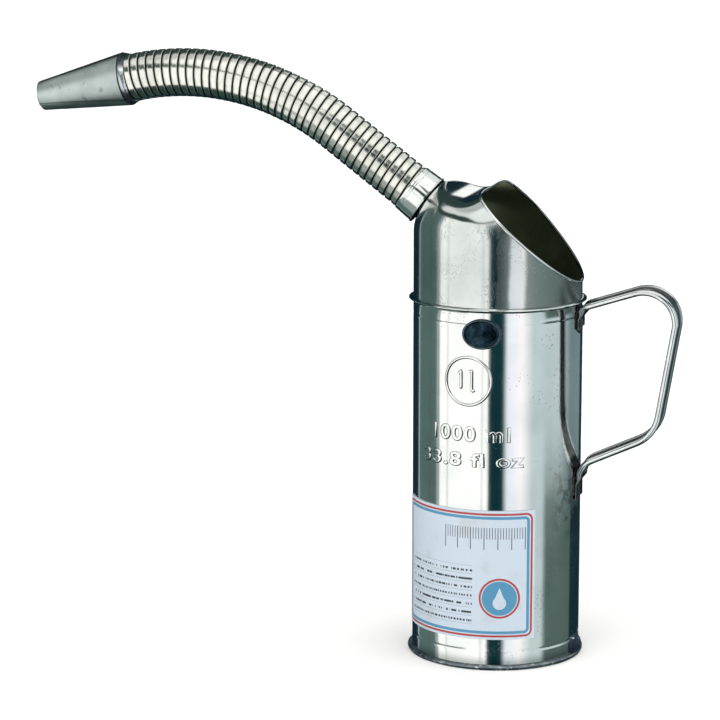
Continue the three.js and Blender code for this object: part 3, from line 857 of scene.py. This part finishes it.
def rolled_seam(bottom, foot_radius):
    """Profile points of an edge rolled over a flange: out from its foot to a sharp rim and back."""
    reach = SEAM_RADIUS
    rim = bottom + SEAM_RIM_RISE
    top = bottom + SEAM_HEIGHT
    soft = 0.15 * MM
    return [
        (foot_radius, bottom), (reach - soft, rim - 2 * soft), (reach, rim - soft), (reach, rim + soft),
        (reach - soft, rim + 2 * soft), (SEAM_LIP_RADIUS + 3 * soft, top), (SEAM_LIP_RADIUS, top),
    ]


def body_wall(finish, inside):
    low, high = GROOVE_HEIGHTS
    steps = int((high - low) / WALL_RING_STEP)
    between = np.linspace(low, high, steps + 1)[1:-1]
    profile = [(CAN_RADIUS, BODY_FOOT), *groove(low), *((CAN_RADIUS, z) for z in between), *groove(high)]
    profile += [(CAN_RADIUS, TOP_SEAM_Z - 0.4 * MM), *rolled_seam(TOP_SEAM_Z, SEAM_LIP_RADIUS)]
    piece = turned("body_wall", profile)
    half_turn = math.degrees(LOCK_SEAM_WIDTH / 2 / CAN_RADIUS)

    def on_seam(at):
        angle = math.degrees(math.atan2(at.x, -at.y))
        return abs(angle - LOCK_SEAM_ANGLE) < half_turn and at.z < high

    step_out(piece, on_seam, LOCK_SEAM_STEP)
    ripple(piece, WALL_WAVE, WALL_WAVE_SIZE)
    thicken(piece, SHEET, finish, inside)
    smooth(piece)
    set_down(piece, "can", "tinplate", None, "body_shell")


def base_pan(finish):
    piece = turned("base_pan", rolled_seam(0, BASE_FOOT_RADIUS), closed=True)
    with editing(piece):
        choose(piece, "FACE", lambda at: at.xy.length < MM and at.z > MM)
        bpy.ops.mesh.delete(type="ONLY_FACE")
    thicken(piece, SHEET)
    smooth(piece)
    set_down(piece, "can", "tinplate", finish, "base_plate")


def rounded_max(a, b, radius):
    """Larger of two distances, with a round edge where the two surfaces meet."""
    corner = np.hypot(np.maximum(radius + a, 0), np.maximum(radius + b, 0))
    return np.minimum(-radius, np.maximum(a, b)) + corner


def hood_distance(points):
    """How far points lie outside the hood's form: wall, dished top and sloping seat."""
    x, y, z = points.T
    wall = np.hypot(x, y) - CAN_RADIUS
    along = x - VALLEY_X
    up = VALLEY_RISE * (along / VALLEY_REACH) ** 2
    fall = CROWN_FALL * np.maximum(np.abs(y) - CROWN_HALF_WIDTH, 0) ** 2
    swell = SHOULDER_GROWTH * up + SHOULDER_LEAN * np.maximum(-along, 0)
    shoulder = SHOULDER_LEAST_RADIUS + SHOULDER_GAIN * np.tanh(swell / SHOULDER_GAIN)
    rise = math.radians(SPOUT_RISE)
    seat = (points - np.array(SEAT_CENTRE)) @ np.array((-math.cos(rise), 0, math.sin(rise)))
    dome = rounded_max(wall, z - VALLEY_Z - up + fall, shoulder)
    return rounded_max(dome, seat, SEAT_EDGE_RADIUS + SEAT_EDGE_GROWTH * np.abs(y))


def press_to_hood(piece):
    """Pushes the points of a dome out along rays from its foot until they lie on the hood's form."""
    centre = np.array((0, 0, HOOD_BASE))
    rays = mesh_points(piece) - centre
    rays /= np.linalg.norm(rays, axis=1)[:, None]
    near = np.zeros(len(rays))
    far = np.full(len(rays), 2 * CAN_RADIUS)
    for _ in range(HALVINGS):
        middle = (near + far) / 2
        within = hood_distance(centre + rays * middle[:, None]) < 0
        near = np.where(within, middle, near)
        far = np.where(within, far, middle)
    set_mesh_points(piece, centre + rays * near[:, None])


def mouth_hem(skin, finish):
    """The hood's mouth edge drawn off as a line and rounded into a hem."""
    with editing(skin):
        choose(skin, "VERT", lambda at: abs((at - MOUTH_CENTRE).dot(MOUTH_NORMAL)) < NEAR)
        bpy.ops.mesh.duplicate()
        bpy.ops.mesh.separate(type="SELECTED")
    piece = next(one for one in bpy.context.selected_objects if one != skin)
    piece.name = "mouth_hem"
    with editing(piece):
        bpy.ops.mesh.remove_doubles(threshold=HEM_POINT_GAP)
    round_off(piece, HEM_RADIUS)
    close_up(piece)
    smooth(piece, 60)
    set_down(piece, "can", "hood_tin", finish)


def hood(finish, inside, hem_finish):
    piece = begin(
        "hood_skin", bpy.ops.mesh.primitive_uv_sphere_add,
        segments=HOOD_SIDES, ring_count=HOOD_RINGS, radius=CAN_RADIUS, location=(0, 0, HOOD_BASE),
    )
    cut(piece, (0, 0, HOOD_BASE), (0, 0, 1), clear_inner=True)
    press_to_hood(piece)
    cut(piece, MOUTH_CENTRE, MOUTH_NORMAL, clear_outer=True)
    mouth_hem(piece, hem_finish)
    thicken(piece, SHEET, finish, inside)
    drill = begin(
        "seat_drill", bpy.ops.mesh.primitive_cylinder_add, vertices=SEAT_HOLE_SIDES, radius=SEAT_HOLE_RADIUS,
        depth=SEAT_HOLE_DEPTH, location=SEAT_CENTRE, rotation=(0, math.radians(SPOUT_RISE - 90), 0),
    )
    apply_modifier(piece, "BOOLEAN", object=drill, operation="DIFFERENCE", solver="EXACT")
    bpy.data.objects.remove(drill)
    smooth(piece)
    set_down(piece, "can", "hood_tin", None, "hood")


# Spout pieces
def ferrule(finish):
    """A plain sleeve, slightly flared to a thin foot ring, with two fine lines turned near its top."""
    inner = HOSE_RADIUS + FERRULE_CLEARANCE
    foot = FERRULE_FOOT_RADIUS
    low = FERRULE_LIFT
    ring_top = FERRULE_RING_TOP
    top = FERRULE_LENGTH
    fine = FINE_EDGE

    def wall(height):
        share = (height - ring_top) / (top - ring_top)
        return FERRULE_RADIUS + (FERRULE_TOP_RADIUS - FERRULE_RADIUS) * share

    profile = [(inner, low), (foot - fine, low), (foot, low + fine)]
    profile += [(foot, ring_top - 2 * fine), (foot - fine, ring_top - fine), (wall(ring_top), ring_top)]
    profile += [(wall(z), z) for z in np.linspace(2 * MM, FERRULE_LINES[0] - 3 * fine, 7)]
    for line in FERRULE_LINES:
        profile += [(wall(line), line - 2 * fine), (wall(line) - fine, line - fine)]
        profile += [(wall(line) - fine, line + fine), (wall(line), line + 2 * fine)]
    profile += [(wall(top - 3 * fine), top - 3 * fine), (wall(top) - fine, top - fine), (inner, top)]
    profile += [(inner, top - 1 * MM), (inner, 1 * MM)]
    piece = sleeve("hose_ferrule_sleeve", profile)
    ripple(piece, 0.10 * MM, 6 * MM)
    lay_on_spout(piece)
    smooth(piece)
    set_down(piece, "can", "tinplate", finish, "hose_ferrule")


def hose_strip():
    """One turn of the wound strip, swept round and along, with the depth of its groove marked for the painted
    shade in it.
    """
    points = [(HOSE_RADIUS - depth * MM, 0, share * HOSE_TURN) for depth, share in HOSE_SECTION]
    piece = begin_outline("hose_strip", points, list(pairwise(range(len(points)))))
    apply_modifier(
        piece, "SCREW", axis="Z", angle=math.tau, screw_offset=HOSE_TURN, iterations=HOSE_TURNS,
        steps=HOSE_STEPS, render_steps=HOSE_STEPS,
    )
    thicken(piece, HOSE_WALL)
    x, y, _ = mesh_points(piece).T
    mark_points(piece, "groove", (HOSE_RADIUS - np.hypot(x, y)) / MM)
    return piece


def hose(finish):
    """The wound hose in lengths that each span one hinge of the spout."""
    strip = hose_strip()
    for number in range(1, HINGE_COUNT + 1):
        hinge = FERRULE_LENGTH + HINGE_PITCH * number
        start = hinge - HINGE_PITCH / 2
        end = hinge + HINGE_PITCH / 2
        low = HOSE_FROM if number == 1 else start
        high = HOSE_TO if number == HINGE_COUNT else end
        piece = put_in_scene(f"hose_length_{number}", strip.data.copy())
        cut(piece, (0, 0, low), (0, 0, 1), use_fill=True, clear_inner=True)
        cut(piece, (0, 0, high), (0, 0, 1), use_fill=True, clear_outer=True)
        lay_on_spout(piece)
        smooth(piece, 50)
        spout_point(start)
        spout_point(end)
        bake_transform(piece)
        replaced = [f"hose_section_{number}"]
        if number == HINGE_COUNT:
            replaced.append(f"hose_section_{number + 1}")
        set_down(piece, None, "hose_steel", finish, *replaced)
    bpy.data.objects.remove(strip)


def nozzle(finish):
    slope = (NOZZLE_TIP_RADIUS - NOZZLE_RADIUS) / NOZZLE_LENGTH
    stations = np.linspace(0, NOZZLE_LENGTH - 0.6 * MM, NOZZLE_STATIONS)
    profile = [(NOZZLE_RADIUS + slope * s, s) for s in stations]
    profile.append((NOZZLE_TIP_RADIUS - 0.15 * MM, NOZZLE_LENGTH - 0.1 * MM))
    profile.append((NOZZLE_TIP_RADIUS - 0.4 * MM, NOZZLE_LENGTH))
    piece = turned("nozzle_cone_sheet", profile, SMALL_SIDES)

    def on_lap(at):
        return NOZZLE_LAP_FROM < math.degrees(math.atan2(at.y, at.x)) < NOZZLE_LAP_TO

    step_out(piece, on_lap, NOZZLE_LAP_STEP)
    ripple(piece, 0.15 * MM, 12 * MM)
    thicken(piece, NOZZLE_WALL)
    lay_on_spout(piece, NOZZLE_FROM)
    smooth(piece)
    set_down(piece, f"spout_link_{HINGE_COUNT}", "nozzle_zinc", finish, "nozzle_cone")


def collar(finish):
    piece = sleeve("nozzle_solder_collar", [(radius * MM, z * MM) for radius, z in COLLAR_SECTION])
    ripple(piece, 0.22 * MM, 4 * MM, 0.6)
    lay_on_spout(piece, COLLAR_FROM)
    smooth(piece)
    set_down(piece, f"spout_link_{HINGE_COUNT}", "nozzle_zinc", finish, "nozzle_collar")


# Handle
def draw_out(step):
    """In edit mode, draws the selected end of a piece out by a step."""
    bpy.ops.mesh.extrude_region_move(TRANSFORM_OT_translate={"value": step})


def squeeze_foot(factor):
    """In edit mode, makes the selected end of the handle thinner or thicker, against the can's wall."""
    inner_face = (HANDLE_FOOT_X - HANDLE_BEAD_RADIUS, 0, 0)
    bpy.ops.transform.resize(value=(factor, 1, 1), center_override=inner_face)


def handle(finish):
    """A strip with a rolled bead along both edges, hammered flat at its feet, drawn along and spun round."""
    radius = HANDLE_BEAD_RADIUS
    bead = HANDLE_WIDTH / 2 - radius
    meet = math.asin(HANDLE_WEB / 2 / radius)
    sweep = np.linspace(meet - math.pi, math.pi - meet, HANDLE_BEAD_STEPS + 1)
    right = [(bead + radius * math.cos(a), radius * math.sin(a)) for a in sweep]
    outline = right + [(-y, -x) for y, x in right]
    points = [(HANDLE_FOOT_X - x, y, HANDLE_START_Z) for y, x in outline]
    piece = begin_outline("handle_strip_beaded", points, faces=[range(len(points))])
    up = Vector((0, 0, 1))
    here = Vector((HANDLE_FOOT_X, 0, HANDLE_START_Z)) + up * (HANDLE_UPPER_FOOT + HANDLE_FOOT_EASE)
    heading = 90
    with editing(piece):
        squeeze_foot(HANDLE_FOOT_FLAT)
        draw_out(up * HANDLE_UPPER_FOOT)
        draw_out(up * HANDLE_FOOT_EASE)
        squeeze_foot(1 / HANDLE_FOOT_FLAT)
        for length, turn in HANDLE_RUNS:
            ahead = Vector((math.cos(math.radians(heading)), 0, math.sin(math.radians(heading))))
            if turn == 0:
                draw_out(ahead * length)
                here += ahead * length
                continue
            left = Vector((-ahead.z, 0, ahead.x))
            centre = here + left * math.copysign(length, turn)
            steps = round(abs(turn) / HANDLE_SPIN_STEP)
            bpy.ops.mesh.spin(steps=steps, angle=math.radians(turn), center=centre, axis=(0, 1, 0))
            here = centre + Matrix.Rotation(math.radians(-turn), 3, "Y") @ (here - centre)
            heading += turn
        draw_out(-up * HANDLE_FOOT_EASE)
        squeeze_foot(HANDLE_FOOT_FLAT)
        draw_out(-up * HANDLE_LOWER_FOOT)
    close_up(piece)
    smooth(piece, 45)
    set_down(piece, "can", "tinplate", finish, "handle_strip")


# Pieces on the wall
def solder_pool(name, angle, span, width, depth, finish, *replaced):
    """A pool of solder run out on the wall, over a span of heights."""
    low, high = span
    piece = begin(name, bpy.ops.mesh.primitive_ico_sphere_add, subdivisions=5, radius=1)
    scale_piece(piece, width / 2, (high - low) / 2, depth)
    ripple(piece, 0.35 * depth, 3 * MM, 0.5, 3)
    wrap_on_can(piece, angle, (low + high) / 2)
    smooth(piece, 80)
    set_down(piece, "can", "solder", finish, *replaced)


def calibration_seal(finish):
    """An oval seal with a raised rim and a small stamped centre."""
    half = SEAL_WIDTH / 2
    profile = [(share * half, -SEAL_SUNK) for share in SEAL_BACK]
    profile += [(share * half, rise * SEAL_THICKNESS) for share, rise in SEAL_SECTION]
    piece = turned("calibration_seal_oval", profile, SMALL_SIDES, closed=True)
    scale_piece(piece, 1, SEAL_HEIGHT / SEAL_WIDTH, 1)
    close_up(piece)
    apply_modifier(piece, "SUBSURF", levels=1, render_levels=1)
    ripple(piece, 0.10 * MM, 2.5 * MM, 0.5, 3)
    wrap_on_can(piece, SEAL_ANGLE, SEAL_Z)
    smooth(piece, 60)
    set_down(piece, "can", "seal", finish, "calibration_seal")


def paper_label(finish):
    piece = begin(
        "paper_label_sheet", bpy.ops.mesh.primitive_grid_add, x_subdivisions=96, y_subdivisions=48,
        size=1, location=(0, 0, LABEL_LIFT + LABEL_THICKNESS), calc_uvs=True,
    )
    scale_piece(piece, LABEL_WIDTH, LABEL_HEIGHT, 1)
    wrap_on_can(piece, (LABEL_FROM + LABEL_TO) / 2, LABEL_Z + LABEL_HEIGHT / 2)
    apply_modifier(piece, "SOLIDIFY", thickness=LABEL_THICKNESS + LABEL_LIFT / 2, offset=-1)
    smooth(piece)
    set_down(piece, "can", "label_paper", finish, "paper_label")


def mark_lee(piece):
    """Marks how far each point of a flat raised figure faces down, or to the right, for the painted shade on
    those flanks.
    """
    normals = np.empty(len(piece.data.vertices) * 3, dtype=np.float32)
    piece.data.vertex_normals.foreach_get("vector", normals)
    mark_points(piece, "lee", np.clip(normals.reshape(-1, 3) @ np.array(LEE), 0, 1))


def press_out(piece, height, finish):
    """Closes a flat raised figure, lays it on the can and sets it down."""
    close_up(piece)
    mark_lee(piece)
    wrap_on_can(piece, MARK_ANGLE, height)
    smooth(piece, 50)
    set_down(piece, "can", "tinplate", finish)


def embossed_litre(finish):
    """A flagged one and an l with a hooked foot, each drawn as one rounded bead."""
    points = []
    edges = []
    for stroke in (ONE_STROKE, ELL_STROKE):
        edges += pairwise(range(len(points), len(points) + len(stroke)))
        points += [(x * MM, y * MM, 0) for x, y in stroke]
    piece = begin_outline("embossed_litre", points, edges)
    with editing(piece):
        bpy.ops.mesh.subdivide(number_cuts=STROKE_CUTS)
    round_off(piece, STROKE_BEAD, STROKE_END)
    scale_piece(piece, 1, 1, FIGURE_FLAT)
    press_out(piece, RING_Z, finish)


def embossed_row(name, words, height, letter, width, finish):
    """Raised figures pressed out of the wall as rounded beads."""
    bpy.ops.object.select_all(action="DESELECT")
    bpy.ops.object.text_add()
    piece = bpy.context.object
    piece.name = name
    piece.data.body = words
    piece.data.align_x = "CENTER"
    piece.data.size = letter
    piece.data.space_character = ROW_SPACING
    piece.data.offset = ROW_THINNING
    piece.data.extrude = ROW_FLAT_HALF
    piece.data.bevel_depth = ROW_BEAD
    piece.data.bevel_resolution = BEAD_FINENESS
    bpy.ops.object.convert(target="MESH")
    across = mesh_points(piece)[:, 0]
    scale_piece(piece, width / (across.max() - across.min()), 1, FIGURE_FLAT)
    with editing(piece):
        bpy.ops.transform.translate(value=(0, 0, FIGURE_PROUD))
    press_out(piece, height, finish)


def embossed_ring(finish):
    piece = begin(
        "embossed_ring", bpy.ops.mesh.primitive_torus_add, major_segments=SMALL_SIDES, minor_segments=12,
        major_radius=RING_RADIUS, minor_radius=RING_BEAD,
    )
    scale_piece(piece, 1, 1, RING_FLAT)
    press_out(piece, RING_Z, finish)


# Stage
CAMERA_PLACE = (0.3123, -1.4692, 0.440)
CAMERA_TURN = (79.18, 0, 14.71)
CAMERA_LENS = 147.7
FLOOR_SIZE = 40
LAMP_STRENGTH = 2.1
LAMP_SPREAD = 90

# Light tent
CAMERA_SIDE = 12
TENT_LOW = -53
TENT_HIGH = 27
TENT_UNDER = -13.05
TENT_PAST_ZENITH = 111
TENT_DARK = (0.036, 0.066, 0.060)
TENT_NAVY = (0.008, 0.026, 0.036)
TENT_TEAL = (0.004, 0.036, 0.044)
TENT_GREEN = (0.105, 0.17, 0.16)
TENT_OLIVE = (0.10, 0.15, 0.12)
TENT_MOSS = (0.09, 0.14, 0.125)
TENT_WHITE = (1.30, 1.30, 1.27)
TENT_JOINT = (0.58, 0.60, 0.60)
TENT_BLUE = (0.96, 1.03, 1.12)
TENT_PINK = (1.22, 1.17, 1.20)
TENT_PALE = (0.62, 0.73, 0.75)
TENT_SLATE = (0.20, 0.28, 0.30)
TENT_CARD = (0.95, 0.97, 0.95)

# Walls of the tent: (degrees round the can, colour), from the back on the spout side to the back again
TENT_BANDS = (
    (-180, TENT_NAVY), (-124, TENT_NAVY), (-121.5, TENT_PALE), (-119, TENT_GREEN), (-95, TENT_GREEN),
    (-92, TENT_OLIVE), (-89, TENT_GREEN), (-79, TENT_GREEN), (-77, TENT_PALE), (-75, TENT_DARK),
    (-72, TENT_WHITE), (-60.5, TENT_WHITE), (-59, TENT_JOINT), (-57.5, TENT_WHITE), (-9.5, TENT_WHITE),
    (-8, TENT_JOINT), (-6.5, TENT_WHITE), (-0.5, TENT_WHITE), (1.5, TENT_TEAL), (20, TENT_TEAL),
    (26, TENT_BLUE), (46, TENT_PINK), (62, TENT_PALE), (107, TENT_PALE), (131, TENT_SLATE),
    (164, TENT_SLATE), (168, TENT_NAVY), (180, TENT_NAVY),
)


def light_tent():
    """Soft panels round and over the jug, drawn on the surroundings; the camera itself sees plain white."""
    world = bpy.data.worlds.new("light_tent")
    world.use_nodes = True
    world.node_tree.nodes.clear()
    bpy.context.scene.world = world
    paint = Signal(world.node_tree)
    toward = paint.node("ShaderNodeTexCoord", output="Generated")
    x, y, z = (toward.axis(name) for name in "XYZ")
    degrees = 180 / math.pi
    around = paint.math("ARCTAN2", x, 0 - y) * degrees
    up = paint.math("ARCSINE", z) * degrees
    side = math.radians(CAMERA_SIDE)
    front = x * math.sin(side) - y * math.cos(side)
    over = paint.math("ARCTAN2", z, front) * degrees
    stops = [((angle + 180) / 360, colour) for angle, colour in TENT_BANDS]
    bands = paint.node("ShaderNodeValToRGB", {"Fac": around / 360 + 0.5}, stops=stops)
    under = around.ease(76, 86) * up.ease(TENT_UNDER - 0.15, TENT_UNDER + 0.15, 1, 0)
    bands = under.mix(bands, around.ease(134, 138).mix(TENT_MOSS, TENT_NAVY))
    walls = up.band(TENT_LOW - 2, TENT_LOW, TENT_HIGH - 1, TENT_HIGH)
    tent = walls.mix(TENT_DARK, bands)
    gap_top = around.ease(-90, -62, -9, 0) + around.ease(-40, -4, 47, 29.5) + around.ease(13, 20, 0, 14)
    roof = (up - gap_top).ease(-1.5, 1.5) * over.ease(TENT_PAST_ZENITH - 4, TENT_PAST_ZENITH, 1, 0)
    dim = around.ease(-50, -30, 1, 0) * up.ease(59, 62, 0.45, 0.9)
    tent = roof.mix(tent, dim.mix(TENT_WHITE, TENT_JOINT))
    back_strip = (around + 0.35 * up).ease(-170.8, -169.4) * around.ease(-167.2, -165.6, 1, 0)
    back_strip = back_strip * up.ease(3, 4.5) * (up + 0.45 * around).ease(-60, -58.4, 1, 0)
    tent = back_strip.mix(tent, TENT_WHITE)
    side_card = around.band(98, 104, 172, 177) * up.band(27, 33, 56, 62)
    tent = side_card.mix(tent, TENT_CARD)
    low_card = around.band(-80, -76, -34, -29) * up.ease(-25, -22, 1, 0)
    low_card = low_card * (up - 0.4 * around).ease(-22, -20)
    tent = (0.8 * low_card).mix(tent, TENT_GREEN)
    to_camera = paint.node("ShaderNodeLightPath", output="Is Camera Ray")
    seen = paint.node("ShaderNodeBackground", {"Color": (1, 1, 1, 1)})
    felt = paint.node("ShaderNodeBackground", {"Color": tent})
    both = paint.node("ShaderNodeMixShader", {0: to_camera, 1: felt, 2: seen})
    paint.node("ShaderNodeOutputWorld", {"Surface": both})


def stage():
    floor = begin("pale_floor", bpy.ops.mesh.primitive_plane_add, size=FLOOR_SIZE)
    floor.data.materials.append(pale_floor())
    floor.visible_glossy = False
    light_tent()
    lamp = bpy.data.lights.new("overhead_soft_light", "SUN")
    lamp.angle = math.radians(LAMP_SPREAD)
    lamp.energy = LAMP_STRENGTH
    soft_light = put_in_scene("overhead_soft_light", lamp)
    soft_light.visible_glossy = False
    camera = put_in_scene("camera", bpy.data.cameras.new("camera"))
    camera.data.lens = CAMERA_LENS
    camera.location = CAMERA_PLACE
    camera.rotation_euler = [math.radians(turn) for turn in CAMERA_TURN]
    bpy.context.scene.camera = camera
    bpy.context.scene.view_settings.view_transform = "Standard"


stage()

tin = bright_tin()
figure_tin = pressed_tin()
inside = oily_inside()
brown_flux = burnt_solder("brown_flux", (0.012, 0.009, 0.007), (0.050, 0.045, 0.040))
blue_flux = burnt_solder("blue_flux", (0.004, 0.012, 0.030), (0.020, 0.040, 0.085))

base_pan(base_tin_painted_dark())
body_wall(tin, inside)
hood(drawn_tin(), inside, tin)
ferrule(tin)
hose(wound_steel())
collar(grey_solder())
nozzle(dull_zinc())
handle(beaded_tin())
solder_pool("upper_foot_solder", HANDLE_ANGLE, UPPER_SOLDER_SPAN,
            FOOT_SOLDER_WIDTH, FOOT_SOLDER_DEPTH, brown_flux, "upper_handle_solder")
solder_pool("lower_foot_solder", HANDLE_ANGLE, LOWER_SOLDER_SPAN,
            FOOT_SOLDER_WIDTH, FOOT_SOLDER_DEPTH, brown_flux, "lower_handle_solder")
solder_pool("seam_end_lump", LUMP_ANGLE, LUMP_SPAN, LUMP_WIDTH, LUMP_DEPTH, blue_flux, "seam_end_solder")
calibration_seal(seal_lead())
paper_label(printed_paper())
embossed_ring(figure_tin)
embossed_litre(figure_tin)
for row in ROWS:
    embossed_row(*row, figure_tin)
